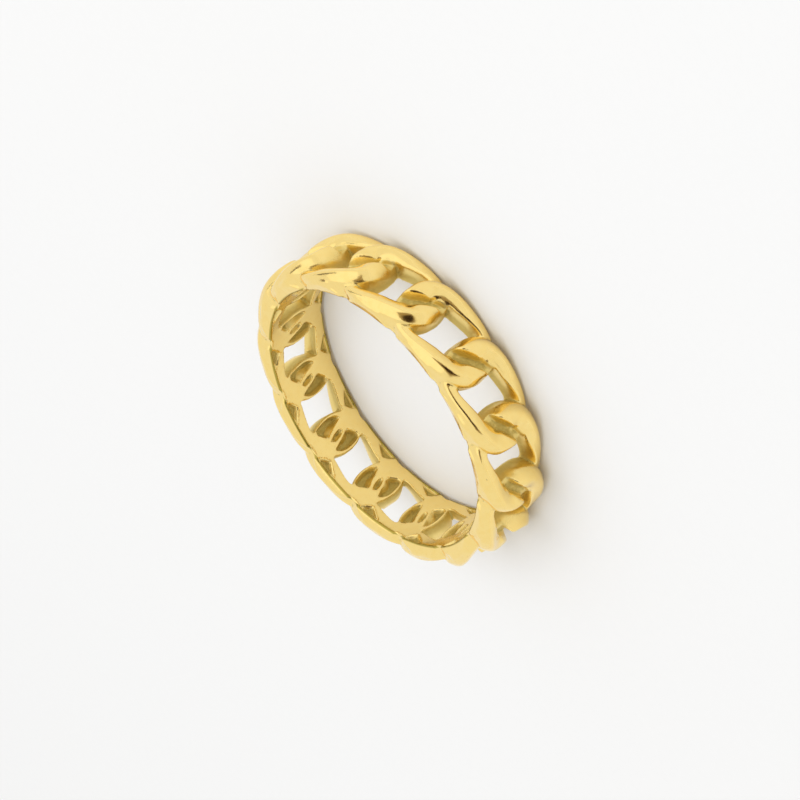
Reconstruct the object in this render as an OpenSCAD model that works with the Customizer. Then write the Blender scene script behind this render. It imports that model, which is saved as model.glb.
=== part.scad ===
// Chain link ring: a cast band of woven curb links, smooth on the finger side.
// Millimetres, +Z along the finger axis, origin at the centre of the lower edge.

/* [Band] */

// inside diameter, the finger hole
bore_d = 17.2; // [15:0.1:22]
// height of the band along the finger
band_h = 4.6; // [3.5:0.05:6]
// number of links round the band
link_count = 14; // [12:1:16]

/* [Link] */

// length of a link's centre line, as a share of two pitches
link_reach = 0.69; // [0.66:0.005:0.71]
// wire width on the long sides of a link
rail_w = 0.91; // [0.7:0.01:1.2]
// wire width at the two ends of a link
nose_w = 1.18; // [1:0.01:1.9]
// how far the links' swollen corners reach past their long sides, both edges together
corner_reach = 0.07; // [0:0.01:0.2]
// extra wire width where it weaves outward
bulb_w = 0.18; // [0:0.01:0.4]
// wire thickness on the outer side of its centre line
outer_t = 0.72; // [0.4:0.01:1]
// wire thickness on the finger side of its centre line
inner_t = 0.59; // [0.4:0.01:1]
// how far the wire's centre line runs outside the finger hole
line_rise = 0.67; // [0.4:0.01:0.85]
// how far the wire weaves out and in
weave = 0.32; // [0.2:0.01:0.42]
// how much higher the ends of a link sit than its long sides
nose_rise = 0.23; // [0:0.01:0.4]
// lean of the wire where it weaves
weave_lean = 23; // [0:1:36]
// constant outward lean of the long sides
rail_lean = 11; // [0:1:18]
// roundness of a link's corners, 1 is an oval
corner_round = 0.76; // [0.7:0.01:1]
// squareness of the wire on its outer side, 2 is round
top_square = 3; // [2:0.1:5]
// squareness of the wire on its finger side, 2 is round
low_square = 2.4; // [2:0.1:5]

/* [Cast edges and webs] */

// how far the cast rims stay inside the band's two edges
rim_inset = 0.34; // [0.2:0.01:0.5]
// height of the cast rim along each edge
rim_h = 0.45; // [0.3:0.01:0.7]
// depth of the cast rim from the finger hole
rim_t = 0.5; // [0.3:0.01:0.8]
// how much deeper the links' inner faces lie than the rims' bore, twice that at mid height
face_step = 0.01; // [0.01:0.01:0.05]
// how far the web between two crossing links stops inside their centre lines
web_inset = 0.71; // [0.6:0.01:0.8]
// length of that web round the band
web_l = 1.8; // [0.9:0.1:2]
// thickness of that web
web_t = 0.5; // [0.3:0.05:1.2]
// how far the web sits outside the finger hole
web_rise = 0.45; // [0.1:0.05:0.6]

/* [Fineness] */

// stations round each link
stations = 24; // [20:2:26]
// points round the wire
wire_points = 10; // [8:2:10]

/* [Output] */

// which node to draw

/* [Hidden] */

bore_r = bore_d / 2;
// height of a link's centre line, so that its long sides reach the band's edges
link_h = band_h - rail_w - corner_reach;
// height of the rims' outer edges above and below mid height
rim_z = band_h / 2 - rim_inset;
// height of the stretch between the rims where the links' inner faces lie deeper
face_h = 2 * (rim_z - rim_h - face_step);
// mean radius of the wire's centre line
line_r = bore_r + line_rise;
pitch_deg = 360 / link_count;
half_reach = link_reach * pitch_deg;
// room past the solid, so that no cut ends on a face
past = 2;
gold = [0.93, 0.74, 0.35];

function spow(x, p) = sign(x) * pow(abs(x), p);

// the wire's centre line at angle a round the link
function dip(a) = sin(2 * a);
function rounding(a, e) =
    pow(pow(abs(cos(a)), 2 / e) + pow(abs(sin(a)), 2 / e), -e / 2);
function centre_r(a) = line_r - weave * dip(a) + nose_rise / 2 * cos(2 * a);
function centre_az(a) = half_reach * rounding(a, corner_round) * cos(a);
function centre_z(a) = link_h / 2 * rounding(a, corner_round) * sin(a);
function centre(a) = [
    centre_r(a) * cos(centre_az(a)),
    centre_r(a) * sin(centre_az(a)),
    centre_z(a)
];

// the wire's own axes there: along it, outward from the finger, and across
function unit(v) = v / norm(v);
function along(a) = unit(centre(a + 0.05) - centre(a - 0.05));
function radial(a) = [cos(centre_az(a)), sin(centre_az(a)), 0];
function outward(a) = unit(radial(a) - (radial(a) * along(a)) * along(a));
function lean(a) = -weave_lean * dip(a) + rail_lean * (1 - cos(2 * a)) / 2;

// the wire's section: u is outward, v is across and away from the link's hole
function wire_w(a) =
    (rail_w + nose_w) / 2 + (nose_w - rail_w) / 2 * cos(2 * a) - bulb_w / 2 * dip(a);
function square_at(b) = sin(b) > 0 ? top_square : low_square;
function section_u(b) =
    (sin(b) > 0 ? outer_t : inner_t) * spow(sin(b), 2 / square_at(b));
function section_v(a, b) = wire_w(a) / 2 * spow(cos(b), 2 / square_at(b));

function ring_of_points(a, n) =
    let (c = centre(a), o = outward(a), x = cross(along(a), outward(a)), t = lean(a))
    [for (j = [0 : n - 1])
        let (b = 360 * (j + 0.5) / n, u = section_u(b), v = section_v(a, b))
        c + (u * cos(t) + v * sin(t)) * o + (v * cos(t) - u * sin(t)) * x];

// a closed tube of m rings with n points each, as triangles
function tube_faces(m, n) = [
    for (i = [0 : m - 1], j = [0 : n - 1])
        let (p = i * n + j, q = ((i + 1) % m) * n + j,
            r = ((i + 1) % m) * n + (j + 1) % n, s = i * n + (j + 1) % n)
        each [[p, r, q], [p, s, r]]
];

module link() {
    points = [
        for (i = [0 : stations - 1])
            each ring_of_points(360 * (i + 0.5) / stations, wire_points)
    ];
    polyhedron(points, tube_faces(stations, wire_points), convexity = 6);
}

// the web that the casting leaves where two links cross
module crossing_web() {
    translate([bore_r + web_rise, 0, 0])
    rotate([0, 90, 0])
    scale([link_h / 2 - web_inset, web_l / 2, 1])
    cylinder(r = 1, h = web_t, $fn = 8);
}

// the rim that joins the links along one edge of the band
module edge_rim() {
    rotate_extrude($fn = 4 * link_count)
    polygon([
        [bore_r - past, rim_z],
        [bore_r + rim_t * 0.6, rim_z],
        [bore_r + rim_t, rim_z - rim_h * 0.4],
        [bore_r + rim_t, rim_z - rim_h],
        [bore_r - past, rim_z - rim_h]
    ]);
}

module woven_links() {
    for (k = [0 : link_count - 1]) {
        rotate([0, 0, k * pitch_deg]) link();
        rotate([0, 0, (k + 0.5) * pitch_deg]) crossing_web();
    }
    edge_rim();
    mirror([0, 0, 1]) edge_rim();
}

module finger_hole() {
    cylinder(r = bore_r, h = band_h + past, center = true, $fn = 180);
    // between the rims the links' inner faces are hollowed to a shallow barrel
    rotate_extrude($fn = 180)
    polygon([
        [0, -face_h / 2],
        [bore_r + face_step, -face_h / 2],
        [bore_r + 2 * face_step, 0],
        [bore_r + face_step, face_h / 2],
        [0, face_h / 2]
    ]);
}

module chain_band() {
    color(gold)
    translate([0, 0, band_h / 2])
    difference() {
        resize([0, 0, band_h]) woven_links();
        finger_hole();
    }
}

chain_band();
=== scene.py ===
"""The looks of a chain link ring: a cast gold band of woven curb links on a pale studio floor."""

import logging
import math
from collections.abc import Iterator
from dataclasses import dataclass, replace
from enum import Enum
from typing import Any

import bpy
import numpy as np
from mathutils import Matrix, Vector, noise


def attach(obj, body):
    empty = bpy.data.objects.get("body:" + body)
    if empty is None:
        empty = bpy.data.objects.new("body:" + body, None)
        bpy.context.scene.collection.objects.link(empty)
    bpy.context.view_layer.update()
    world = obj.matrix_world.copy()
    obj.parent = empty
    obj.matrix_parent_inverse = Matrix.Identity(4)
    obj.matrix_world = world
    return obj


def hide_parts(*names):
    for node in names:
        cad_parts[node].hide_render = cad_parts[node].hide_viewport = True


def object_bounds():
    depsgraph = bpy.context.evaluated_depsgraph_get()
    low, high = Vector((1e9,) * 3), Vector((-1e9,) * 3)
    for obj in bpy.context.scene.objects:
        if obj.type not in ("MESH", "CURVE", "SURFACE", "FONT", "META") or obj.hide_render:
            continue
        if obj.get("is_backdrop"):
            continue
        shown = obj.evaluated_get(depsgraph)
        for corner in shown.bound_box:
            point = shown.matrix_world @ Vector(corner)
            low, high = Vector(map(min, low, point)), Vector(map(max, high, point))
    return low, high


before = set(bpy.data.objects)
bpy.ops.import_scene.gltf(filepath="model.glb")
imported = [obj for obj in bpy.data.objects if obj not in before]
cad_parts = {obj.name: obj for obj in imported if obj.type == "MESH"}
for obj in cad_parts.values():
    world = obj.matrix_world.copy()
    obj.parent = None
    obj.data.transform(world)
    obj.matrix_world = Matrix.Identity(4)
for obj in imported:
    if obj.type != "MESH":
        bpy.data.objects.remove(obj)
CAD_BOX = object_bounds()

LOG = logging.getLogger("chain_link_ring")
MM = 0.001
# the ring's middle, in metres
MIDDLE = (0.0, 0.0, 0.0023)
# what a noise texture gives on average
NOISE_MEAN = 0.5
# how many points measure a superellipse's length
FINE = 4001

Number = int | float
Colour = tuple[float, float, float]
Outline = tuple[tuple[float, float], ...]
Shell = tuple[np.ndarray, np.ndarray]


class Edge(Enum):
    """The two edges of the band."""

    UPPER = 1
    LOWER = -1


# ---- shader expressions


class Graph:
    """The node tree of one material."""

    def __init__(self, name: str) -> None:
        """Starts an empty material.

        Args:
            name: the material's name.
        """
        self.material = bpy.data.materials.new(name)
        self.material.use_nodes = True
        self.tree = self.material.node_tree
        self.tree.nodes.clear()

    def node(
        self, kind: str, settings: dict[str, Any] | None = None, **inputs: Any
    ) -> bpy.types.Node:
        """Makes any node.

        Args:
            kind: the node's type, such as ShaderNodeMath.
            settings: attributes, which are set first.
            inputs: values or links by socket name, with _ for a blank, or in_N for the Nth socket.

        Returns:
            The new node.
        """
        made = self.tree.nodes.new(kind)
        for key, value in (settings or {}).items():
            setattr(made, key, value)
        for key, value in inputs.items():
            name = int(key[3:]) if key.startswith("in_") else key.replace("_", " ")
            self.feed(made.inputs[name], value)
        return made

    def feed(self, socket: bpy.types.NodeSocket, value: Any) -> None:
        """Links or sets one input.

        Args:
            socket: the input.
            value: a Term to link, or a number, colour or vector to set.
        """
        if isinstance(value, Term):
            self.tree.links.new(value.socket, socket)
        else:
            socket.default_value = value

    def term(
        self,
        kind: str,
        settings: dict[str, Any] | None = None,
        output: int | str = 0,
        **inputs: Any,
    ) -> "Term":
        """Makes a node and wraps one of its outputs.

        Args:
            kind: the node's type.
            settings: attributes, which are set first.
            output: the output's number or name.
            inputs: values or links by socket name.

        Returns:
            The output as a Term.
        """
        return Term(self, self.node(kind, settings, **inputs).outputs[output])

    def mix(self, factor: "Term", low: "Term | Colour", high: "Term | Colour") -> "Term":
        """Mixes two colours.

        Args:
            factor: 0 gives low, 1 gives high.
            low: a colour or Term.
            high: a colour or Term.

        Returns:
            The mixed colour.
        """
        settings = {"data_type": "RGBA", "clamp_factor": True}
        ends = [end if isinstance(end, Term) else (*end, 1.0) for end in (low, high)]
        return self.term("ShaderNodeMix", settings, 2, in_0=factor, in_6=ends[0], in_7=ends[1])

    def ease(self, value: "Term", low: float, high: float) -> "Term":
        """A smooth step from 0 at low to 1 at high.

        Args:
            value: what is tested.
            low: where the step starts.
            high: where it ends.

        Returns:
            The step as a Term.
        """
        settings = {"interpolation_type": "SMOOTHSTEP"}
        span = {"in_1": low, "in_2": high, "in_3": 0.0, "in_4": 1.0}
        return self.term("ShaderNodeMapRange", settings, 0, in_0=value, **span)

    def show(self, **inputs: Any) -> bpy.types.Material:
        """Ends the tree with a surface shader.

        Args:
            inputs: the shader's values or links by socket name.

        Returns:
            The finished material.
        """
        shader = self.node("ShaderNodeBsdfPrincipled", None, **inputs)
        out = self.node("ShaderNodeOutputMaterial")
        self.tree.links.new(shader.outputs[0], out.inputs[0])
        return self.material


class Term:
    """A number, vector or colour in a material, so that shader maths reads as an expression."""

    def __init__(self, graph: Graph, socket: bpy.types.NodeSocket) -> None:
        """Wraps an output.

        Args:
            graph: the tree that the socket is in.
            socket: the output.
        """
        self.graph = graph
        self.socket = socket

    def _math(self, operation: str, first: Any, second: Any = None) -> "Term":
        """One Math node.

        Args:
            operation: the node's operation.
            first: the first value.
            second: the second value, if the operation takes one.

        Returns:
            The result.
        """
        inputs = {"in_0": first} if second is None else {"in_0": first, "in_1": second}
        return self.graph.term("ShaderNodeMath", {"operation": operation}, 0, **inputs)

    def __add__(self, other: "Term | Number") -> "Term":
        """self + other."""
        return self._math("ADD", self, other)

    def __radd__(self, other: Number) -> "Term":
        """other + self."""
        return self._math("ADD", other, self)

    def __sub__(self, other: "Term | Number") -> "Term":
        """self - other."""
        return self._math("SUBTRACT", self, other)

    def __rsub__(self, other: Number) -> "Term":
        """other - self."""
        return self._math("SUBTRACT", other, self)

    def __mul__(self, other: "Term | Number") -> "Term":
        """self * other."""
        return self._math("MULTIPLY", self, other)

    def __rmul__(self, other: Number) -> "Term":
        """other * self."""
        return self._math("MULTIPLY", other, self)

    def __pow__(self, other: "Term | Number") -> "Term":
        """self ** other."""
        return self._math("POWER", self, other)

    def __rpow__(self, other: Number) -> "Term":
        """other ** self."""
        return self._math("POWER", other, self)

    def __abs__(self) -> "Term":
        """abs(self)."""
        return self._math("ABSOLUTE", self)

    def larger(self, other: "Term | Number") -> "Term":
        """The larger of the two."""
        return self._math("MAXIMUM", self, other)


# ---- meshes as arrays, one row for each point or edge


def rows_of(items: bpy.types.bpy_prop_collection, name: str, width: int, kind: type) -> np.ndarray:
    """One property of all points or edges of a mesh.

    Args:
        items: the mesh's points or edges.
        name: the property.
        width: how many numbers it has.
        kind: their type.

    Returns:
        The property of each point or edge, one a row.
    """
    values = np.zeros(len(items) * width, kind)
    items.foreach_get(name, values)
    return values.reshape(-1, width)


def mesh_points(mesh: bpy.types.Mesh) -> np.ndarray:
    """A mesh's points, one a row."""
    return rows_of(mesh.vertices, "co", 3, np.float32).astype(float)


def mesh_normals(mesh: bpy.types.Mesh) -> np.ndarray:
    """A mesh's normals at its points, one a row."""
    return rows_of(mesh.vertices, "normal", 3, np.float32).astype(float)


def mesh_edges(mesh: bpy.types.Mesh) -> np.ndarray:
    """A mesh's edges, a pair of points a row."""
    return rows_of(mesh.edges, "vertices", 2, np.int32)


def set_points(mesh: bpy.types.Mesh, co: np.ndarray) -> None:
    """Moves a mesh's points.

    Args:
        mesh: the mesh, changed in place.
        co: one point a row.
    """
    mesh.vertices.foreach_set("co", co.astype(np.float32).ravel())
    mesh.update()


def neighbour_means(values: np.ndarray, edges: np.ndarray) -> np.ndarray:
    """The mean over each point's neighbours.

    Args:
        values: one row a point.
        edges: pairs of points.

    Returns:
        The means.
    """
    count = len(values)
    both = np.concatenate([edges, edges[:, ::-1]])
    degree = np.maximum(np.bincount(both[:, 0], minlength=count), 1)
    columns = range(values.shape[1])
    sums = [np.bincount(both[:, 0], values[both[:, 1], c], count) for c in columns]
    return np.stack(sums, -1) / degree[:, None]


def smoothed(values: np.ndarray, edges: np.ndarray, rounds: int) -> np.ndarray:
    """Averages values with each point's neighbours.

    Args:
        values: one row a point.
        edges: pairs of points.
        rounds: how often.

    Returns:
        The averaged values.
    """
    for _ in range(rounds):
        values = 0.5 * values + 0.5 * neighbour_means(values, edges)
    return values


def turned(points: np.ndarray, degrees: float) -> np.ndarray:
    """The points turned about the finger axis.

    Args:
        points: one point a row.
        degrees: how far.

    Returns:
        The turned points.
    """
    c, s = math.cos(math.radians(degrees)), math.sin(math.radians(degrees))
    return points @ np.array([[c, s, 0], [-s, c, 0], [0, 0, 1]])


def tube_faces(stations: int, points: int, closed: bool = True) -> np.ndarray:
    """The faces of a tube.

    Args:
        stations: rings along the tube.
        points: points round each ring.
        closed: whether the last ring joins the first.

    Returns:
        One quad a row.
    """
    rows = np.arange(stations if closed else stations - 1)
    i, j = np.meshgrid(rows, np.arange(points), indexing="ij")
    i2, j2 = (i + 1) % stations, (j + 1) % points
    quads = np.stack([i * points + j, i * points + j2, i2 * points + j2, i2 * points + j], -1)
    return quads.reshape(-1, 4)


@dataclass(frozen=True)
class Ramp:
    """A straight step between 0 and 1.

    Attributes:
        start: where a rising step leaves 0, or a falling one reaches it.
        width: how far it takes.
    """

    start: float
    width: float

    def rise(self, x: np.ndarray) -> np.ndarray:
        """0 up to the start and 1 from its width past it."""
        return np.clip((x - self.start) / self.width, 0, 1)

    def fall(self, x: np.ndarray) -> np.ndarray:
        """1 down from its width before the start and 0 from there."""
        return np.clip((self.start - x) / self.width, 0, 1)


# ---- the band


@dataclass(frozen=True)
class BandSize:
    """What all parts of the band share, in millimetres.

    Attributes:
        bore_d: inside diameter, the finger hole.
        band_h: height of the band along the finger.
        link_count: number of links round the band.
    """

    bore_d: float = 17.2
    band_h: float = 4.6
    link_count: int = 14

    @property
    def bore_r(self) -> float:
        """The finger hole's radius."""
        return self.bore_d / 2

    @property
    def half_h(self) -> float:
        """Half the band's height."""
        return self.band_h / 2

    @property
    def pitch(self) -> float:
        """Degrees from one link to the next."""
        return 360 / self.link_count


# outlines of the hollows on the unrolled band, in millimetres from a crossing's middle: the first
# number runs round the band and the second along the finger
CRESCENT_OUTLINE: Outline = (
    (0.77, 0.62), (0.95, 0.35), (1.02, 0.05), (0.98, -0.40), (0.90, -0.75), (0.82, -1.05),
    (0.60, -1.10), (0.40, -0.93), (0.14, -0.70), (0.30, -0.42), (0.46, -0.10), (0.60, 0.25),
)
CORNER_OUTLINE: Outline = (
    (0.62, 2.00), (0.85, 1.72), (1.12, 1.50), (1.50, 1.70), (2.02, 2.00),
)
SLIT_OUTLINE: Outline = (
    (-0.10, -0.20), (0.04, -0.30), (0.22, 0.05), (0.30, 0.40), (0.12, 0.44), (-0.02, 0.12),
)
VALLEY_SIDE: Outline = (
    (-1.85, -0.95), (-1.45, -1.19), (-1.03, -1.11), (-0.36, -0.77), (-0.03, -0.50),
    (0.31, -0.22), (0.56, -0.02), (0.85, 0.20), (1.20, 0.34), (1.70, 0.42),
)
# the other side is the same one turned half round
VALLEY_OUTLINE: Outline = VALLEY_SIDE + tuple((-s, -z) for s, z in VALLEY_SIDE)


@dataclass(frozen=True)
class Hollow:
    """A hollow that the casting leaves at each crossing.

    Attributes:
        outline: its corners on the unrolled band.
        depth: its full depth.
        slope: width over which it reaches that depth.
        outside: share of that width that lies outside the outline.
    """

    outline: Outline
    depth: float
    slope: float
    outside: float = 0.5

    def reach(self, s: np.ndarray, z: np.ndarray) -> np.ndarray:
        """How far each place lies inside the outline.

        Args:
            s: places round the band, in millimetres from the crossing.
            z: places along the finger, in millimetres from mid height.

        Returns:
            The distance to the outline, below zero outside it.
        """
        corners = np.array(self.outline)
        near = np.full(s.shape, np.inf)
        odd = np.zeros(s.shape, bool)
        for (s0, z0), (s1, z1) in zip(corners, np.roll(corners, -1, 0)):
            ds, dz = s1 - s0, z1 - z0
            t = np.clip(((s - s0) * ds + (z - z0) * dz) / (ds * ds + dz * dz), 0, 1)
            near = np.minimum(near, np.hypot(s - s0 - t * ds, z - z0 - t * dz))
            level = (z0 > z) != (z1 > z)
            cut = s0 + (z - z0) * ds / (dz if dz else 1.0)
            odd ^= level & (s < cut)
        return np.where(odd, near, -near)

    def fall(self, s: np.ndarray, z: np.ndarray) -> np.ndarray:
        """The hollow's depth at each place.

        Args:
            s: places round the band.
            z: places along the finger.

        Returns:
            The depth, in millimetres.
        """
        t = np.clip(self.reach(s, z) / self.slope + self.outside, 0, 1)
        return self.depth * t * t * (3 - 2 * t)


@dataclass(frozen=True)
class Crossing:
    """Where two links cross: how the cast skin sinks there on the finger side and outside.

    Attributes:
        band: the band's sizes.
        face_r: radius of the links' outermost faces.
        crescent: the pocket on either side of a crossing, on the finger side.
        corner: the hollow by the band's edge where two links part, on the finger side.
        slit: the slit in the middle of a crossing, on the finger side.
        valley: the cut between two links, on the outside.
    """

    band: BandSize
    face_r: float
    crescent: Hollow = Hollow(CRESCENT_OUTLINE, 0.42, 0.2)
    corner: Hollow = Hollow(CORNER_OUTLINE, 0.26, 0.16)
    slit: Hollow = Hollow(SLIT_OUTLINE, 0.36, 0.13)
    valley: Hollow = Hollow(VALLEY_OUTLINE, 0.82, 0.32, outside=0.35)

    def _local(self, points: np.ndarray, radius: float) -> tuple[np.ndarray, np.ndarray]:
        """Places on the unrolled band.

        Args:
            points: points on the band, in millimetres.
            radius: the radius at which it is unrolled.

        Returns:
            How far each point lies round the band from the nearest crossing, and along the finger.
        """
        azimuth = np.degrees(np.arctan2(points[..., 1], points[..., 0]))
        local = np.mod(azimuth, self.band.pitch) - self.band.pitch / 2
        return np.radians(local) * radius, points[..., 2]

    def sink(self, points: np.ndarray) -> np.ndarray:
        """How deep the finger side is hollowed below the smooth bore.

        Args:
            points: points on the band.

        Returns:
            The depth at each.
        """
        s, z = self._local(points, self.band.bore_r)
        lap = math.radians(self.band.pitch) * self.band.bore_r
        depth = self.slit.fall(s, z)
        for turn in (1, -1):
            depth = np.maximum(depth, self.crescent.fall(turn * s, turn * z))
            for shift in (-lap, 0.0, lap):
                depth = np.maximum(depth, self.corner.fall(turn * s + shift, turn * z))
        return depth

    def cut(self, points: np.ndarray) -> np.ndarray:
        """How deep the outside is cut between two links, below their outermost faces."""
        return self.valley.fall(*self._local(points, self.face_r))


@dataclass(frozen=True)
class Sections:
    """The wire's cross sections, with one row for each.

    Attributes:
        centre: their middles.
        outward: their directions away from the finger.
        across: their directions across the wire.
        lean: how far each is turned about the wire, in radians.
    """

    centre: np.ndarray
    outward: np.ndarray
    across: np.ndarray
    lean: np.ndarray

    def place(self, u: np.ndarray, v: np.ndarray) -> np.ndarray:
        """Points in the leaning sections.

        Args:
            u: how far outward each lies, one row a section.
            v: how far across.

        Returns:
            An array of sections by points by 3.
        """
        cos_t, sin_t = np.cos(self.lean)[:, None], np.sin(self.lean)[:, None]
        out = (u * cos_t + v * sin_t)[..., None] * self.outward[:, None, :]
        side = (v * cos_t - u * sin_t)[..., None] * self.across[:, None, :]
        return self.centre[:, None, :] + out + side


@dataclass(frozen=True)
class LinkWire:
    """The wire of one curb link, in millimetres and degrees, as a closed loop of sections.

    Angles round the link are 0 and 180 degrees at its two ends and 90 degrees from them on its
    long sides.

    Attributes:
        band: the band's sizes.
        link_reach: length of the centre line, as a share of two pitches.
        rail_w: width on the long sides.
        nose_w: width at the two ends.
        bulb_w: how much wider the wire is where it weaves outward than where it weaves inward.
        corner_reach: how far the corners reach past the long sides, both edges together.
        outer_t: thickness outside the centre line.
        inner_t: thickness on the finger side of it, by which the points there are spaced.
        line_rise: how far the centre line runs outside the finger hole.
        weave: how far the centre line weaves out and in.
        nose_rise: how much higher the ends sit than the long sides.
        weave_lean: lean where the wire weaves.
        rail_lean: constant outward lean of the long sides.
        corner_round: roundness of the link's corners, 1 is an oval.
        top_square: squareness of the section's outer side, 2 is round.
        low_square: squareness of its finger side, 2 is round.
        fill: extra width towards the link's hole where the wire doesn't weave inward.
        fill_from: share of the inward weave at which that width is gone.
        rail_draft: how much a long side draws back from the link's hole, for each millimetre up.
        nose_draft: how much an end draws back from the next link's hole in the same way.
        nose_taper: extra draft there above the centre line.
        nose_lift: extra thickness at an end, as a share.
        lift_power: how closely that keeps to the very end.
        step: how far apart two points give the wire's direction.
        stations: sections round the link.
        points: points round a section, half of them on the finger side.
    """

    band: BandSize = BandSize()
    link_reach: float = 0.69
    rail_w: float = 0.91
    nose_w: float = 1.18
    bulb_w: float = 0.18
    corner_reach: float = 0.07
    outer_t: float = 0.72
    inner_t: float = 0.59
    line_rise: float = 0.67
    weave: float = 0.32
    nose_rise: float = 0.23
    weave_lean: float = 23.0
    rail_lean: float = 11.0
    corner_round: float = 0.76
    top_square: float = 4.2
    low_square: float = 7.0
    fill: float = 0.3
    fill_from: float = 0.6
    rail_draft: float = 0.24
    nose_draft: float = 0.1
    nose_taper: float = 0.25
    nose_lift: float = 0.22
    lift_power: int = 6
    step: float = 0.05
    stations: int = 200
    points: int = 72

    @property
    def line_r(self) -> float:
        """Mean radius of the centre line."""
        return self.band.bore_r + self.line_rise

    @property
    def face_r(self) -> float:
        """Radius of the outermost faces."""
        return self.band.bore_r + self.line_rise + self.weave + self.outer_t

    @property
    def link_h(self) -> float:
        """Height of the centre line."""
        return self.band.band_h - self.rail_w - self.corner_reach

    @staticmethod
    def _dip(a: np.ndarray) -> np.ndarray:
        """Which way the wire weaves at angle a, 1 inward and -1 outward."""
        return np.sin(2 * a)

    @staticmethod
    def _end(a: np.ndarray) -> np.ndarray:
        """How near angle a is to an end of the link, 1 there and 0 on the long sides."""
        return (1 + np.cos(2 * a))[:, None] / 2

    @staticmethod
    def _unit(v: np.ndarray) -> np.ndarray:
        """Each row at length 1."""
        return v / np.linalg.norm(v, axis=-1, keepdims=True)

    def _centre(self, a: np.ndarray) -> np.ndarray:
        """The centre line.

        Args:
            a: angles round the link, in radians.

        Returns:
            One point a row.
        """
        n = 2 / self.corner_round
        rounding = (np.abs(np.cos(a)) ** n + np.abs(np.sin(a)) ** n) ** (-1 / n)
        azimuth = np.radians(self.link_reach * self.band.pitch) * rounding * np.cos(a)
        r = self.line_r - self.weave * self._dip(a) + self.nose_rise / 2 * np.cos(2 * a)
        z = self.link_h / 2 * rounding * np.sin(a)
        return np.stack([r * np.cos(azimuth), r * np.sin(azimuth), z], -1)

    def _half_width(self, a: np.ndarray) -> np.ndarray:
        """Half the wire's width across.

        Args:
            a: angles round the link.

        Returns:
            One row for each angle.
        """
        mean, half = (self.rail_w + self.nose_w) / 2, (self.nose_w - self.rail_w) / 2
        width = mean + half * np.cos(2 * a) - self.bulb_w / 2 * self._dip(a)
        return width[:, None] / 2

    def _sections(self, a: np.ndarray) -> Sections:
        """The wire's sections.

        Args:
            a: angles round the link.

        Returns:
            One section for each angle.
        """
        step = np.radians(self.step)
        centre = self._centre(a)
        along = self._unit(self._centre(a + step) - self._centre(a - step))
        radial = self._unit(centre * np.array([1.0, 1.0, 0.0]))
        outward = self._unit(radial - np.sum(radial * along, -1, keepdims=True) * along)
        lean = -self.weave_lean * self._dip(a) + self.rail_lean * (1 - np.cos(2 * a)) / 2
        return Sections(centre, outward, np.cross(along, outward), np.radians(lean))

    def _spread(
        self, a: np.ndarray, share: np.ndarray, height: np.ndarray, line_h: np.ndarray
    ) -> np.ndarray:
        """Places across the wire, full towards the link's hole and drawn in up a window's walls.

        Args:
            a: angles round the link.
            share: the places as shares, from -1 at the link's hole to 1 away from it.
            height: their heights above the finger hole.
            line_h: the centre line's height there.

        Returns:
            The places, in millimetres, one row for each angle.
        """
        half, end = self._half_width(a), self._end(a)
        filled = half + self.fill * np.clip(self.fill_from - self._dip(a), 0, 1)[:, None]
        hole = -filled + (1 - end) * self.rail_draft * height
        above = np.clip(height - line_h, 0, None)
        rim = half - end * (self.nose_draft * height + self.nose_taper * above)
        return np.where(share > 0, share * rim, -share * hole)

    def _half_section(self, square: float, thick: float) -> np.ndarray:
        """Angles that space points evenly along half of a section, a superellipse.

        Args:
            square: its exponent.
            thick: its height.

        Returns:
            Angles from 0 to pi, leaving the two ends out.
        """
        count = self.points // 2
        b = np.linspace(0, np.pi, FINE)
        x = self.rail_w / 2 * np.sign(np.cos(b)) * np.abs(np.cos(b)) ** (2 / square)
        y = thick * np.abs(np.sin(b)) ** (2 / square)
        run = np.concatenate([[0], np.cumsum(np.hypot(np.diff(x), np.diff(y)))])
        return np.interp((np.arange(count) + 0.5) / count * run[-1], run, b)

    @staticmethod
    def _shares(b: np.ndarray, square: float) -> tuple[np.ndarray, np.ndarray]:
        """A superellipse's points as shares of its half width and of its height.

        Args:
            b: their angles.
            square: its exponent.

        Returns:
            The shares across and the shares of the height.
        """
        across = np.sign(np.cos(b)) * np.abs(np.cos(b)) ** (2 / square)
        return across, np.abs(np.sin(b))[None, :] ** (2 / square)

    def shell(self) -> Shell:
        """The wire's surface, flush with the finger hole.

        Returns:
            Its points and its quads.
        """
        a = 2 * np.pi * (np.arange(self.stations) + 0.5) / self.stations
        sections = self._sections(a)
        line_r = np.hypot(sections.centre[:, 0], sections.centre[:, 1])
        line_h = line_r[:, None] - self.band.bore_r

        b = self._half_section(self.top_square, self.outer_t)
        across, up = self._shares(b, self.top_square)
        u = self.outer_t * (1 + self.nose_lift * self._end(a) ** self.lift_power) * up
        top = sections.place(u, self._spread(a, across[None, :], line_h + u, line_h))

        b = self._half_section(self.low_square, self.inner_t)[::-1]
        across, down = self._shares(b, self.low_square)
        v = self._spread(a, across[None, :], line_h * (1 - down), line_h)
        low = sections.place(np.zeros((1, len(b))), v)
        r = np.hypot(low[..., 0], low[..., 1])
        sunk = (r + (self.band.bore_r - r) * down) / r
        low = low * np.stack([sunk, sunk, np.ones_like(sunk)], -1)
        points = np.concatenate([top, low], 1).reshape(-1, 3)
        return points, tube_faces(self.stations, self.points)


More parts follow.
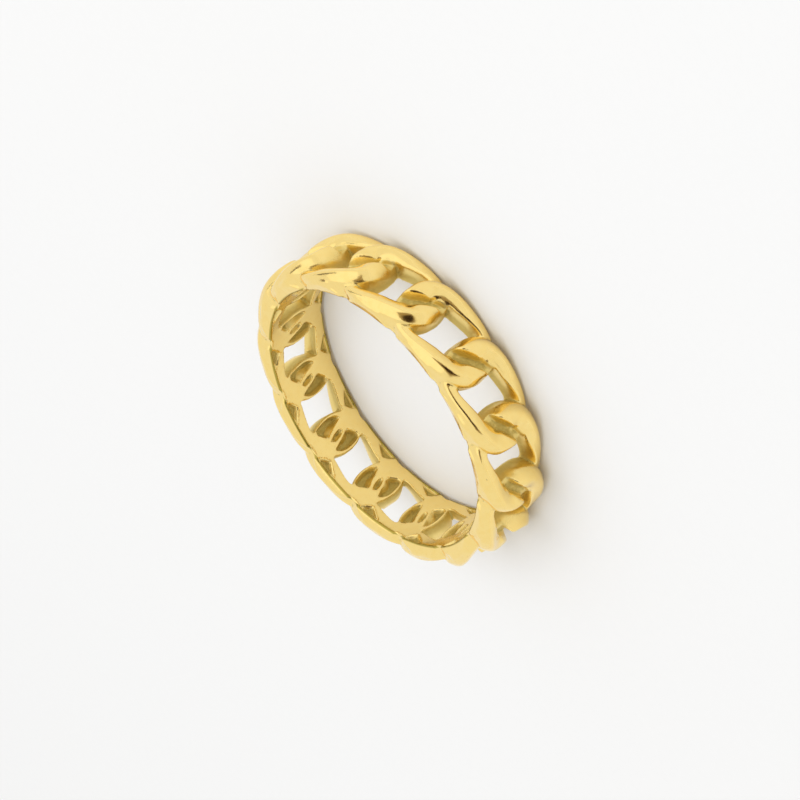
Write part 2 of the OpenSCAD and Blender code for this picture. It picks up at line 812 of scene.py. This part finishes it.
@dataclass(frozen=True)
class Web:
    """The thin web that the casting leaves where two links cross, in millimetres.

    Attributes:
        inset: how far it stops inside the links' centre lines.
        length: its length round the band.
        depth: how far it reaches outward from the finger hole.
        around: points round it.
        rings: rings from its inner face to its outer one.
        profile: its rounded side, as shares of its outline and of its depth.
    """

    inset: float = 0.71
    length: float = 1.8
    depth: float = 0.95
    around: int = 48
    rings: int = 12
    profile: Outline = (
        (0.02, 0.0), (0.75, 0.0), (0.97, 0.1), (1.0, 0.5), (0.97, 0.9), (0.75, 1.0), (0.02, 1.0),
    )

    def shell(self, wire: LinkWire) -> Shell:
        """The web of the first crossing.

        Args:
            wire: the links that it joins.

        Returns:
            Its points and its faces; a triangle has its last point twice.
        """
        t = 2 * np.pi * np.arange(self.around) / self.around
        shares = np.array(self.profile)
        level = np.linspace(0, len(shares) - 1, self.rings)
        grow, rise = (np.interp(level, np.arange(len(shares)), column) for column in shares.T)
        x = wire.band.bore_r + self.depth * np.repeat(rise[:, None], self.around, 1)
        y = self.length / 2 * np.outer(grow, np.cos(t))
        z = (wire.link_h / 2 - self.inset) * np.outer(grow, np.sin(t))
        points = np.stack([x, y, z], -1).reshape(-1, 3)
        last = (self.rings - 1) * self.around
        fan = range(1, self.around - 1)
        inner = [[0, k, k + 1, k + 1] for k in fan]
        outer = [[last, last + k + 1, last + k, last + k] for k in fan]
        side = tube_faces(self.rings, self.around, closed=False)
        return points, np.concatenate([side, np.array(inner), np.array(outer)])


@dataclass(frozen=True)
class Rim:
    """The low rim that joins the links along an edge of the band, in millimetres.

    Attributes:
        inset: how far it stays inside the edge.
        height: its height along the finger.
        depth: how far it reaches outward from the finger hole.
        chamfer: its bevel towards the edge, as a share of its depth and height.
        around: points round the rim for each link.
    """

    inset: float = 0.28
    height: float = 0.17
    depth: float = 0.50
    chamfer: float = 0.4
    around: int = 24

    def shell(self, band: BandSize, edge: Edge) -> Shell:
        """One rim.

        Args:
            band: the band's sizes.
            edge: which edge it runs along.

        Returns:
            Its points and its quads.
        """
        top = band.half_h - self.inset
        outline = (
            (0.0, top - self.height),
            (self.depth, top - self.height),
            (self.depth, top - self.height * self.chamfer),
            (self.depth * (1 - self.chamfer), top),
            (0.0, top),
        )
        count = self.around * band.link_count
        t = 2 * np.pi * np.arange(count) / count
        r = np.array([band.bore_r + p[0] for p in outline])
        z = np.tile([edge.value * p[1] for p in outline], (count, 1))
        points = np.stack([np.outer(np.cos(t), r), np.outer(np.sin(t), r), z], -1)
        return points.reshape(-1, 3), tube_faces(count, len(outline))


@dataclass(frozen=True)
class EdgeProfile:
    """How far the band's two edges stay inside its height, in millimetres.

    Attributes:
        inset: how far at the finger hole.
        slope: how much of that goes with each millimetre outward.
        bevel_inset: how far the bevel along the finger hole does at the hole itself.
        bevel_slope: how much of that goes with each millimetre outward.
    """

    inset: float = 0.20
    slope: float = 0.35
    bevel_inset: float = 0.32
    bevel_slope: float = 5.7

    def inset_at(self, rise: np.ndarray) -> np.ndarray:
        """How far an edge stays inside the band's height.

        Args:
            rise: distances outward from the finger hole.

        Returns:
            The inset at each.
        """
        bevel = self.bevel_inset - self.bevel_slope * rise
        return np.maximum(np.clip(self.inset - self.slope * rise, 0, None), bevel)

    def bevel_rise(self, over: np.ndarray) -> np.ndarray:
        """How far outward the bevel lies at each height, counted from the band's edge."""
        return (over + self.bevel_inset) / self.bevel_slope


@dataclass(frozen=True)
class Casting:
    """How the shells are fused into one skin, in millimetres.

    Attributes:
        voxel: size of the voxels that fuse them.
        melt: steps towards and away from the neighbours' mean that smooth without shrinking.
        melt_rounds: how often both are taken.
        soft_rounds: how often the first one is taken after them.
        press_facing: how squarely a face must look at the finger to be pressed onto the bore.
        press_upright: how squarely one must look along the finger to be pressed onto an edge.
        press_inside: width over which the pressing onto the bore ends at the band's edges.
        press_reach: gap up to which a face is pressed; at twice that it is left alone.
        triangles: how many the skin may have.
        even_weight: weight of every point in the thinning.
        evenness: how much that weight counts, which keeps the triangles from being slivers.
        weld: gap up to which points are joined after that.
    """

    voxel: float = 0.06
    melt: tuple[float, float] = (0.5, -0.52)
    melt_rounds: int = 7
    soft_rounds: int = 3
    press_facing: Ramp = Ramp(0.6, 0.25)
    press_upright: Ramp = Ramp(0.5, 0.3)
    press_inside: float = 0.02
    press_reach: float = 0.05
    triangles: int = 190000
    even_weight: float = 0.5
    evenness: float = 0.004
    weld: float = 0.004

    @staticmethod
    def _applied(shell: bpy.types.Object) -> bpy.types.Mesh:
        """The mesh that an object's modifiers make.

        Args:
            shell: the object.

        Returns:
            A new mesh.
        """
        bpy.context.view_layer.update()
        graph = bpy.context.evaluated_depsgraph_get()
        return bpy.data.meshes.new_from_object(shell.evaluated_get(graph))

    def fuse(self, shell: bpy.types.Object) -> bpy.types.Mesh:
        """Fuses an object's overlapping shells.

        Args:
            shell: the object.

        Returns:
            One closed mesh.
        """
        fuse = shell.modifiers.new("fuse", "REMESH")
        fuse.mode = "VOXEL"
        fuse.voxel_size = self.voxel
        mesh = self._applied(shell)
        shell.modifiers.clear()
        return mesh

    def smooth(self, mesh: bpy.types.Mesh) -> None:
        """Smooths the voxel steps away without shrinking the form.

        Args:
            mesh: the fused mesh, changed in place.
        """
        co, edges = mesh_points(mesh), mesh_edges(mesh)
        for step in self.melt * self.melt_rounds + self.melt[:1] * self.soft_rounds:
            co = co + step * (neighbour_means(co, edges) - co)
        set_points(mesh, co)

    def near(self, gap: np.ndarray) -> np.ndarray:
        """How fully a face is pressed over a gap: 1 up to the reach and 0 at twice that."""
        return np.clip(2 - np.abs(gap) / self.press_reach, 0, 1)

    def thin(self, shell: bpy.types.Object) -> bpy.types.Mesh:
        """Brings an object's mesh down to the triangles that it may have.

        Args:
            shell: the object.

        Returns:
            The thinned mesh.
        """
        mesh = shell.data
        mesh.calc_loop_triangles()
        thin = shell.modifiers.new("thin", "DECIMATE")
        thin.ratio = min(1.0, self.triangles / len(mesh.loop_triangles))
        group = shell.vertex_groups.new(name="even")
        group.add(range(len(mesh.vertices)), self.even_weight, "REPLACE")
        thin.vertex_group = "even"
        thin.vertex_group_factor = self.evenness
        shell.modifiers.new("weld", "WELD").merge_threshold = self.weld
        return self._applied(shell)


@dataclass(frozen=True)
class DullAndShaded:
    """Which parts of the skin polishing didn't reach, and where shade is painted into their colour,
    in millimetres.

    Attributes:
        hollow_rounds: smoothing rounds that tell how hollow a place is.
        crevice: how hollow a place has to be to count as a crevice.
        pocket: share of dull metal and painted shade in the finger side's pockets.
        pocket_depth: how deep a pocket has to be there.
        pocket_top: how far outward from the finger hole a pocket's dull metal and painted shade go.
        trench: share of dull metal and painted shade in the cuts between links.
        trench_depth: how deep a cut has to be there.
        trench_top: how far below the links' faces it sets in.
        wall: share of dull metal and painted shade on all steep walls.
        window: extra share of dull metal and painted shade low on a window's walls.
        window_top: how far outward from the finger hole that extra goes.
        wall_facing: how squarely a face that is no wall looks in or out.
        wall_edge: how far inside the band's edges walls set in.
        wall_top: how far below the links' faces they set in.
        bore: how far outward from the finger hole any dull metal and painted shade set in.
    """

    hollow_rounds: int = 24
    crevice: Ramp = Ramp(-0.06, 0.12)
    pocket: float = 0.5
    pocket_depth: Ramp = Ramp(0.018, 0.12)
    pocket_top: Ramp = Ramp(0.75, 0.2)
    trench: float = 0.6
    trench_depth: Ramp = Ramp(0.2, 0.4)
    trench_top: Ramp = Ramp(0.1, 0.3)
    wall: float = 0.3
    window: float = 0.6
    window_top: Ramp = Ramp(0.8, 0.3)
    wall_facing: Ramp = Ramp(0.65, 0.3)
    wall_edge: Ramp = Ramp(0.35, 0.1)
    wall_top: Ramp = Ramp(0.35, 0.2)
    bore: Ramp = Ramp(0.02, 0.03)

    def masks(self, mesh: bpy.types.Mesh, crossing: Crossing) -> np.ndarray:
        """Works out the skin's masks.

        Args:
            mesh: the skin, in millimetres at mid height.
            crossing: the hollows at each crossing.

        Returns:
            Two columns: how far each point lies in a crevice, and how dull it is and how much
                painted shade it takes.
        """
        co, edges, normal = mesh_points(mesh), mesh_edges(mesh), mesh_normals(mesh)
        # hollowness: creases get painted shade as well as dull metal from it
        hollow = np.sum((smoothed(co, edges, self.hollow_rounds) - co) * normal, -1)
        r = np.hypot(co[:, 0], co[:, 1])
        rise, below = r - crossing.band.bore_r, crossing.face_r - r
        within = crossing.band.half_h - np.abs(co[:, 2])
        facing = np.abs(co[:, 0] * normal[:, 0] + co[:, 1] * normal[:, 1]) / r
        pocket = self.pocket_depth.rise(crossing.sink(co)) * self.pocket_top.fall(rise)
        trench = self.trench_depth.rise(crossing.cut(co)) * self.trench_top.rise(below)
        wall = self.wall_facing.fall(facing) * self.wall_edge.rise(within)
        wall = wall * self.wall_top.rise(below)
        wall = wall * (self.wall + self.window * self.window_top.fall(rise))
        # dull metal and painted shade: pockets, cuts and steep walls
        sunk = np.maximum(np.maximum(self.pocket * pocket, self.trench * trench), wall)
        sunk = sunk * self.bore.rise(rise)
        return smoothed(np.stack([self.crevice.rise(hollow), sunk], -1), edges, 1)


@dataclass(frozen=True)
class ChainBand:
    """The whole ring: woven links, webs between them and rims along both edges, cast as one.

    Attributes:
        wire: a link as designed, which also holds the band's sizes.
        web: the web at a crossing.
        rim: the rim along an edge.
        edge: the shape of the band's edges.
        casting: how the skin is fused.
        dull_and_shaded: where it stays dull and where shade is painted.
        face_room: how far past the links' outermost faces a lifted end may stand.
        seed: start of the random draws for the links' small differences.
        slip: how far a link may lie off its place, in degrees.
        swell: how much wider its ends may be, as a share.
        lean: how much further it may lean, in degrees.
        grain: how far the dull metal's skin is uneven.
        grain_scales: how fine that is, in waves for each millimetre, coarse and fine.
        fine_share: how strong the fine waves are against the coarse ones.
    """

    wire: LinkWire = LinkWire()
    web: Web = Web()
    rim: Rim = Rim()
    edge: EdgeProfile = EdgeProfile()
    casting: Casting = Casting()
    dull_and_shaded: DullAndShaded = DullAndShaded()
    face_room: float = 0.08
    seed: int = 11
    slip: float = 0.22
    swell: float = 0.02
    lean: float = 1.5
    grain: float = 0.02
    grain_scales: tuple[float, float] = (2.6, 6.1)
    fine_share: float = 0.5

    @property
    def band(self) -> BandSize:
        """The band's sizes."""
        return self.wire.band

    @property
    def crossing(self) -> Crossing:
        """The hollows at each crossing."""
        return Crossing(self.band, self.wire.face_r)

    def _shells(self) -> Iterator[Shell]:
        """Makes every closed shell: links, each a hair off as if finished by hand, webs and rims.

        Yields:
            A shell's points, in millimetres at mid height, and its faces.
        """
        chance = np.random.default_rng(self.seed)
        for k in range(self.band.link_count):
            slip, swell, lean = chance.uniform(-1, 1, 3)
            points, faces = replace(
                self.wire,
                nose_w=self.wire.nose_w * (1 + self.swell * swell),
                weave_lean=self.wire.weave_lean + self.lean * lean,
            ).shell()
            yield turned(points, k * self.band.pitch + self.slip * slip), faces
        points, faces = self.web.shell(self.wire)
        for k in range(self.band.link_count):
            yield turned(points, (k + 0.5) * self.band.pitch), faces
        for edge in Edge:
            yield self.rim.shell(self.band, edge)

    def _edge_at(self, r: np.ndarray) -> np.ndarray:
        """How far from mid height the band's edge lies, at distances from the finger axis."""
        return self.band.half_h - self.edge.inset_at(r - self.band.bore_r)

    def _carved(self, points: np.ndarray) -> np.ndarray:
        """Sinks the shells' points into the hollows and trims them to the bore and the edges.

        Args:
            points: points of the shells, in millimetres at mid height.

        Returns:
            The moved points.
        """
        crossing = self.crossing
        r = np.hypot(points[:, 0], points[:, 1])
        moved = np.minimum(r, crossing.face_r + self.face_room - crossing.cut(points))
        moved = np.maximum(moved, self.band.bore_r + crossing.sink(points))
        edge = self._edge_at(moved)
        z = np.clip(points[:, 2], -edge, edge)
        return np.stack([points[:, 0] * moved / r, points[:, 1] * moved / r, z], -1)

    def _press(self, mesh: bpy.types.Mesh) -> None:
        """Presses the skin back onto the bore, the hollows' floors and the edges, to keep it crisp.

        Args:
            mesh: the fused mesh, changed in place.
        """
        co, normal = mesh_points(mesh), mesh_normals(mesh)
        r = np.hypot(co[:, 0], co[:, 1])
        facing = -(co[:, 0] * normal[:, 0] + co[:, 1] * normal[:, 1]) / r
        over = np.abs(co[:, 2]) - self.band.half_h
        rise = np.maximum(self.crossing.sink(co), self.edge.bevel_rise(over))
        target = self.band.bore_r + rise
        inside = Ramp(-self.edge.inset, self.casting.press_inside).fall(over)
        weight = self.casting.press_facing.rise(facing) * self.casting.near(r - target) * inside
        moved = (r + weight * (target - r)) / r
        co[:, 0] *= moved
        co[:, 1] *= moved
        gap = self._edge_at(r * moved) - np.abs(co[:, 2])
        upright = np.abs(normal[:, 2])
        weight = self.casting.press_upright.rise(upright) * self.casting.near(gap)
        co[:, 2] += np.sign(co[:, 2]) * gap * weight * upright
        set_points(mesh, co)

    def _cast(self) -> bpy.types.Object:
        """Fuses the shells into one skin with softly rounded joints.

        Returns:
            The band as one object, in millimetres at mid height.
        """
        points, faces, count = [], [], 0
        for shell_points, shell_faces in self._shells():
            points.append(shell_points)
            faces.append(shell_faces + count)
            count += len(shell_points)
        # a corner that stands twice makes a quad a triangle
        corners = [tuple(dict.fromkeys(map(int, face))) for face in np.concatenate(faces)]
        raw = bpy.data.meshes.new("band_shells")
        raw.from_pydata(self._carved(np.concatenate(points)).tolist(), [], corners)
        shell = bpy.data.objects.new("band_shells", raw)
        bpy.context.scene.collection.objects.link(shell)
        shell.data = self.casting.fuse(shell)
        self.casting.smooth(shell.data)
        self._press(shell.data)
        mesh = self.casting.thin(shell)
        mesh.name = "chain_band_skin"
        bpy.data.objects.remove(shell)
        bpy.data.meshes.remove(raw)
        band = bpy.data.objects.new("chain_band_skin", mesh)
        bpy.context.scene.collection.objects.link(band)
        return band

    def _finish(self, mesh: bpy.types.Mesh) -> None:
        """Marks the skin's dull parts and where shade is painted, makes the dull parts a little
        uneven and brings it to size in metres.

        Args:
            mesh: the skin, in millimetres at mid height, changed in place.
        """
        masks = self.dull_and_shaded.masks(mesh, self.crossing)
        for name, column in zip(("crevice", "sunk"), masks.T):
            layer = mesh.attributes.new(name, "FLOAT", "POINT")
            layer.data.foreach_set("value", column.astype(np.float32))
        co, normal = mesh_points(mesh), mesh_normals(mesh)
        coarse, fine = (
            np.array([noise.noise(Vector(p) * scale) for p in co]) for scale in self.grain_scales
        )
        rough = coarse + self.fine_share * fine
        co = co + (self.grain * rough * masks[:, 1])[:, None] * normal
        r = np.hypot(co[:, 0], co[:, 1])
        co[:, :2] *= (np.maximum(r, self.band.bore_r) / r)[:, None]
        low, high = co[:, 2].min(), co[:, 2].max()
        co[:, 2] = (co[:, 2] - low) / (high - low) * self.band.band_h
        mesh.polygons.foreach_set("use_smooth", [True] * len(mesh.polygons))
        set_points(mesh, co * MM)

    def build(self) -> bpy.types.Object:
        """Builds the band.

        Returns:
            The finished piece.
        """
        skin = self._cast()
        self._finish(skin.data)
        return skin

    def dress(self, band: bpy.types.Object, finish: "PolishedGold") -> None:
        """Gives the band its finish and ties it to the frame.

        Args:
            band: the piece.
            finish: the metal's finish.
        """
        band.data.materials.append(finish.material())
        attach(band, "root")
        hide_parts("chain_band")


# ---- finishes


@dataclass(frozen=True)
class Mottle:
    """A noise texture's settings.

    Attributes:
        scale: waves for each metre.
        detail: how many finer layers it has.
        roughness: how strong they are.
    """

    scale: float
    detail: float
    roughness: float = 0.5

    def on(self, place: Term) -> Term:
        """The noise at each place of a surface.

        Args:
            place: the places.

        Returns:
            A number from 0 to 1.
        """
        sockets = {"Scale": self.scale, "Detail": self.detail, "Roughness": self.roughness}
        return place.graph.term("ShaderNodeTexNoise", None, 0, Vector=place, **sockets)


@dataclass(frozen=True)
class PaintedEdgeReflection:
    """A painted dark reflection: the thin dark line along the finger hole's edges, in metres.

    Attributes:
        shade: its colour.
        start: how far from mid height it starts.
        lead: width over which it sets in before that.
        width: its width.
        trail: width over which it goes again.
        radius: how far from the finger axis it reaches.
        fade: width over which it ends there.
        strength: its share at full strength.
    """

    shade: Colour = (0.36, 0.27, 0.03)
    start: float = 0.00201
    lead: float = 0.00002
    width: float = 0.0001
    trail: float = 0.00004
    radius: float = 0.00868
    fade: float = 0.0001
    strength: float = 0.85

    def mask(self, graph: Graph, place: Term) -> Term:
        """Where the line is.

        Args:
            graph: the material.
            place: places on the ring.

        Returns:
            The line's strength at each.
        """
        split = graph.node("ShaderNodeSeparateXYZ", None, Vector=place)
        x, y, z = (Term(graph, split.outputs[n]) for n in range(3))
        level = abs(z - MIDDLE[2])
        end = self.start + self.width
        line = graph.ease(level, self.start - self.lead, self.start)
        line = line - graph.ease(level, end, end + self.trail)
        beyond = graph.ease((x * x + y * y) ** 0.5, self.radius, self.radius + self.fade)
        return line * (1 - beyond) * self.strength


@dataclass(frozen=True)
class PolishedGold:
    """Polished yellow gold, duller in the cast hollows, with painted shade darkening them.

    Attributes:
        bright: the metal's colour.
        warm: the colour that it drifts towards.
        warm_from: noise values between which it drifts.
        warm_share: how far it drifts.
        deep: colour of the dull metal in the hollows, darkened there as painted shade.
        deep_share: how far that replaces the metal's colour.
        sunk_share: how much the masked hollows count as dull and take painted shade.
        crease_from: crevice values between which a crease turns dull and takes painted shade.
        crease_drift: how much the smears move that limit.
        gloss: roughness of the polished metal.
        dull: roughness of the dull metal.
        scratch_dull: roughness that fine scratches add.
        smear_from: noise values between which a smear sets in.
        smear_dull: roughness that smears add.
        grain_dull: least share of the dull metal's roughness, and what the grain adds.
        waves: slow unevenness of the polish.
        grain: the cast metal's grain.
        smears: patches of less polish.
        scratches: fine scratches.
        stretch: how the scratches are drawn out round the band.
        pits: scale of the cast metal's pits.
        wave_h: height of the waves, in metres.
        scratch_h: height of the scratches.
        grain_h: height of the grain.
        pit_h: height of the pits.
        bump: strength of all four.
        painted_edge_reflection: the thin dark line painted along the finger hole's edges as a
            reflection.
    """

    bright: Colour = (0.985, 0.75, 0.28)
    warm: Colour = (0.965, 0.70, 0.225)
    warm_from: tuple[float, float] = (0.35, 0.7)
    warm_share: float = 0.5
    deep: Colour = (0.64, 0.52, 0.17)
    deep_share: float = 0.95
    sunk_share: float = 0.85
    crease_from: tuple[float, float] = (0.62, 0.95)
    crease_drift: float = 0.3
    gloss: float = 0.1
    dull: float = 0.7
    scratch_dull: float = 0.07
    smear_from: tuple[float, float] = (0.45, 0.8)
    smear_dull: float = 0.05
    grain_dull: tuple[float, float] = (0.55, 0.9)
    waves: Mottle = Mottle(900.0, 2.0)
    grain: Mottle = Mottle(7000.0, 5.0, 0.65)
    smears: Mottle = Mottle(2600.0, 4.0, 0.6)
    scratches: Mottle = Mottle(2200.0, 6.0, 0.7)
    stretch: tuple[float, float, float] = (1.0, 1.0, 14.0)
    pits: float = 5200.0
    wave_h: float = 0.00003
    scratch_h: float = 0.0000012
    grain_h: float = 0.00004
    pit_h: float = 0.000015
    bump: float = 0.6
    painted_edge_reflection: PaintedEdgeReflection = PaintedEdgeReflection()

    def material(self) -> bpy.types.Material:
        """Makes the material.

        Returns:
            The material.
        """
        g = Graph("polished_gold")
        place = g.term("ShaderNodeTexCoord", None, "Object")
        crevice = g.term("ShaderNodeAttribute", {"attribute_name": "crevice"}, "Fac")
        sunk = g.term("ShaderNodeAttribute", {"attribute_name": "sunk"}, "Fac")
        waves, grain, smear = (kind.on(place) for kind in (self.waves, self.grain, self.smears))
        pits = g.term("ShaderNodeTexVoronoi", None, 0, Vector=place, Scale=self.pits)
        stretched = g.term("ShaderNodeMapping", None, 0, Vector=place, Scale=self.stretch)
        scratch = self.scratches.on(stretched)

        # creases and masked hollows: dull metal, and painted shade in the colour below
        crease = g.ease(crevice + (smear - NOISE_MEAN) * self.crease_drift, *self.crease_from)
        rough = (sunk * self.sunk_share).larger(crease)

        drift = g.ease(smear, *self.warm_from) * self.warm_share
        # painted shade: creases and hollows take the darker deep colour
        colour = g.mix(rough * self.deep_share, g.mix(drift, self.bright, self.warm), self.deep)
        # painted dark reflection: a thin dark line along the finger hole's edges
        colour = g.mix(self.painted_edge_reflection.mask(g, place), colour, self.painted_edge_reflection.shade)

        least, more = self.grain_dull
        polish = self.gloss + scratch * self.scratch_dull
        polish = polish + g.ease(smear, *self.smear_from) * self.smear_dull
        roughness = polish + (self.dull - self.gloss) * rough * (least + grain * more)

        height = waves * self.wave_h + scratch * self.scratch_h
        height = height + rough * (grain * self.grain_h + pits * self.pit_h)
        bump = g.term("ShaderNodeBump", None, 0, Strength=self.bump, Distance=1.0, Height=height)
        return g.show(Base_Color=colour, Metallic=1.0, Roughness=roughness, Normal=bump)


@dataclass(frozen=True)
class MatteSurface:
    """A plain matte paper or card, with a faint tooth.

    Attributes:
        name: the material's name.
        colour: its colour.
        roughness: how matte it is.
        gleam: how much it reflects.
        tooth: the tooth's pattern.
        shade: how bright the tooth's low spots are against the rest.
    """

    name: str
    colour: Colour
    roughness: float = 0.8
    gleam: float = 0.2
    tooth: Mottle = Mottle(1800.0, 3.0)
    shade: float = 0.985

    def material(self) -> bpy.types.Material:
        """Makes the material.

        Returns:
            The material.
        """
        g = Graph(self.name)
        tooth = self.tooth.on(g.term("ShaderNodeTexCoord", None, "Object"))
        low = tuple(self.shade * c for c in self.colour)
        colour = g.mix(tooth, low, self.colour)
        return g.show(Base_Color=colour, Roughness=self.roughness, Specular_IOR_Level=self.gleam)


# ---- the studio


def flat_sheet(name: str, width: float, height: float) -> bpy.types.Object:
    """A flat rectangle of two by two cells.

    Args:
        name: the object's name.
        width: its width.
        height: its height.

    Returns:
        The object.
    """
    xs, ys = (np.linspace(-side / 2, side / 2, 3).tolist() for side in (width, height))
    points = [(x, y, 0.0) for y in ys for x in xs]
    faces = [(n, n + 1, n + 4, n + 3) for n in (0, 1, 3, 4)]
    mesh = bpy.data.meshes.new(name)
    mesh.from_pydata(points, [], faces)
    made = bpy.data.objects.new(name, mesh)
    bpy.context.scene.collection.objects.link(made)
    return made


@dataclass(frozen=True)
class Spot:
    """A place round the ring, as seen from its middle.

    Attributes:
        azimuth: its direction, in degrees from the X axis.
        elevation: how high it stands, in degrees.
        distance: how far away it is, in metres.
    """

    azimuth: float
    elevation: float
    distance: float

    def hold(self, thing: bpy.types.Object) -> None:
        """Puts a light or card here and turns it so that it faces the ring.

        Args:
            thing: the object.
        """
        middle = Vector(MIDDLE)
        a, e = math.radians(self.azimuth), math.radians(self.elevation)
        way = Vector((math.cos(e) * math.cos(a), math.cos(e) * math.sin(a), math.sin(e)))
        thing.location = middle + self.distance * way
        thing.rotation_euler = (thing.location - middle).to_track_quat("Z", "Y").to_euler()


@dataclass(frozen=True)
class Softbox:
    """One soft area light, aimed at the ring.

    Attributes:
        spot: where it stands.
        size: its width and height, in metres.
        watts: its power.
        reflected: whether the metal reflects it.
    """

    spot: Spot
    size: tuple[float, float]
    watts: float
    reflected: bool = True

    def build(self, number: int) -> None:
        """Makes the light.

        Args:
            number: its number among the lights.
        """
        data = bpy.data.lights.new(f"softbox_{number}", "AREA")
        data.shape = "ELLIPSE"
        data.size, data.size_y = self.size
        data.energy = self.watts
        made = bpy.data.objects.new(f"softbox_{number}", data)
        bpy.context.scene.collection.objects.link(made)
        self.spot.hold(made)
        made.visible_glossy = self.reflected


@dataclass(frozen=True)
class Flag:
    """A dark card that only the metal reflects.

    Attributes:
        spot: where it stands.
        size: its width and height, in metres.
        colour: its colour.
    """

    spot: Spot
    size: tuple[float, float]
    colour: Colour

    def build(self, number: int) -> None:
        """Makes the card.

        Args:
            number: its number among the cards.
        """
        card = flat_sheet(f"flag_{number}", *self.size)
        self.spot.hold(card)
        finish = MatteSurface(f"dark_card_{number}", self.colour, roughness=1.0)
        card.data.materials.append(finish.material())
        card.visible_camera = False
        card.visible_shadow = False
        card.visible_diffuse = False
        card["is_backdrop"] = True


@dataclass(frozen=True)
class Studio:
    """The pale floor, the soft light and the dark cards that draw the metal's edges.

    Attributes:
        floor_side: length of the floor's sides, in metres.
        paper: the floor's finish.
        sky: brightness of the even light all round.
        softboxes: the lights.
        flags: the dark cards.
    """

    floor_side: float = 2.4
    paper: MatteSurface = MatteSurface("pale_paper", (0.80, 0.80, 0.795))
    sky: float = 0.91
    softboxes: tuple[Softbox, ...] = (
        Softbox(Spot(-30.0, 70.0, 0.35), (0.4, 0.4), 0.37, reflected=False),
        Softbox(Spot(-20.0, 60.0, 0.5), (0.9, 0.9), 0.4),
    )
    flags: tuple[Flag, ...] = (
        Flag(Spot(-105.0, 44.0, 0.12), (0.115, 0.085), (0.38, 0.29, 0.18)),
        Flag(Spot(-108.0, 42.0, 0.10), (0.052, 0.048), (0.035, 0.018, 0.008)),
        Flag(Spot(28.0, 35.0, 0.12), (0.075, 0.012), (0.13, 0.085, 0.04)),
    )

    def build(self) -> None:
        """Builds the floor, sky, lights and cards."""
        floor = flat_sheet("floor", self.floor_side, self.floor_side)
        floor.data.materials.append(self.paper.material())
        floor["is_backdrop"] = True
        world = bpy.data.worlds.new("soft_sky")
        world.use_nodes = True
        background = world.node_tree.nodes["Background"]
        background.inputs[0].default_value = (1, 1, 1, 1)
        background.inputs[1].default_value = self.sky
        bpy.context.scene.world = world
        for n, box in enumerate(self.softboxes):
            box.build(n)
        for n, flag in enumerate(self.flags):
            flag.build(n)


@dataclass(frozen=True)
class PhotoCamera:
    """The camera at the photograph's angle to the ring, for an image of 800 by 800.

    Attributes:
        elevation: how high it stands over the ring's middle, in degrees.
        azimuth: how far round the ring it stands, in degrees from straight before it.
        roll: how far it is turned about its own axis, in degrees.
        distance: how far it is from the ring's middle, in metres.
        lens: focal length, in millimetres.
        sensor: sensor width, in millimetres.
        shift: lens shift to the right and up, as shares of the image.
        clip: nearest and farthest distance that it sees, in metres.
    """

    elevation: float = 28.25
    azimuth: float = 3.36
    roll: float = 234.77
    distance: float = 0.22614
    lens: float = 175.3
    sensor: float = 36.0
    shift: tuple[float, float] = (0.00301, 0.00179)
    clip: tuple[float, float] = (0.005, 20.0)

    def build(self) -> None:
        """Makes the camera and puts it in use."""
        e, a, roll = (math.radians(v) for v in (self.elevation, self.azimuth, self.roll))
        turn = Matrix.Rotation(a, 3, "Z")
        back = turn @ Vector((0, -math.cos(e), math.sin(e)))
        right = turn @ Vector((1, 0, 0))
        up = back.cross(right)
        side = math.cos(roll) * right + math.sin(roll) * up
        top = -math.sin(roll) * right + math.cos(roll) * up
        data = bpy.data.cameras.new("photo_camera")
        data.sensor_width = self.sensor
        data.lens = self.lens
        data.shift_x, data.shift_y = self.shift
        data.clip_start, data.clip_end = self.clip
        made = bpy.data.objects.new("photo_camera", data)
        matrix = Matrix((side, top, back)).transposed().to_4x4()
        matrix.translation = Vector(MIDDLE) + back * self.distance
        made.matrix_world = matrix
        bpy.context.scene.collection.objects.link(made)
        bpy.context.scene.camera = made


def write_sizes() -> None:
    """Works out the CAD box and the visual model's box."""
    boxes = [[list(corner) for corner in box] for box in (CAD_BOX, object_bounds())]


def main() -> None:
    """Builds the camera, the studio and the ring, in that order."""
    logging.basicConfig(level=logging.INFO, format="%(name)s: %(message)s")
    bpy.context.scene.view_settings.view_transform = "Standard"
    PhotoCamera().build()
    studio = Studio()
    studio.build()
    LOG.info("studio: %d lights, %d cards", len(studio.softboxes), len(studio.flags))
    band = ChainBand()
    skin = band.build()
    band.dress(skin, PolishedGold())
    mesh = skin.data
    LOG.info("%s: %d vertices, %d faces", skin.name, len(mesh.vertices), len(mesh.polygons))
    write_sizes()


if __name__ == "__main__":
    main()
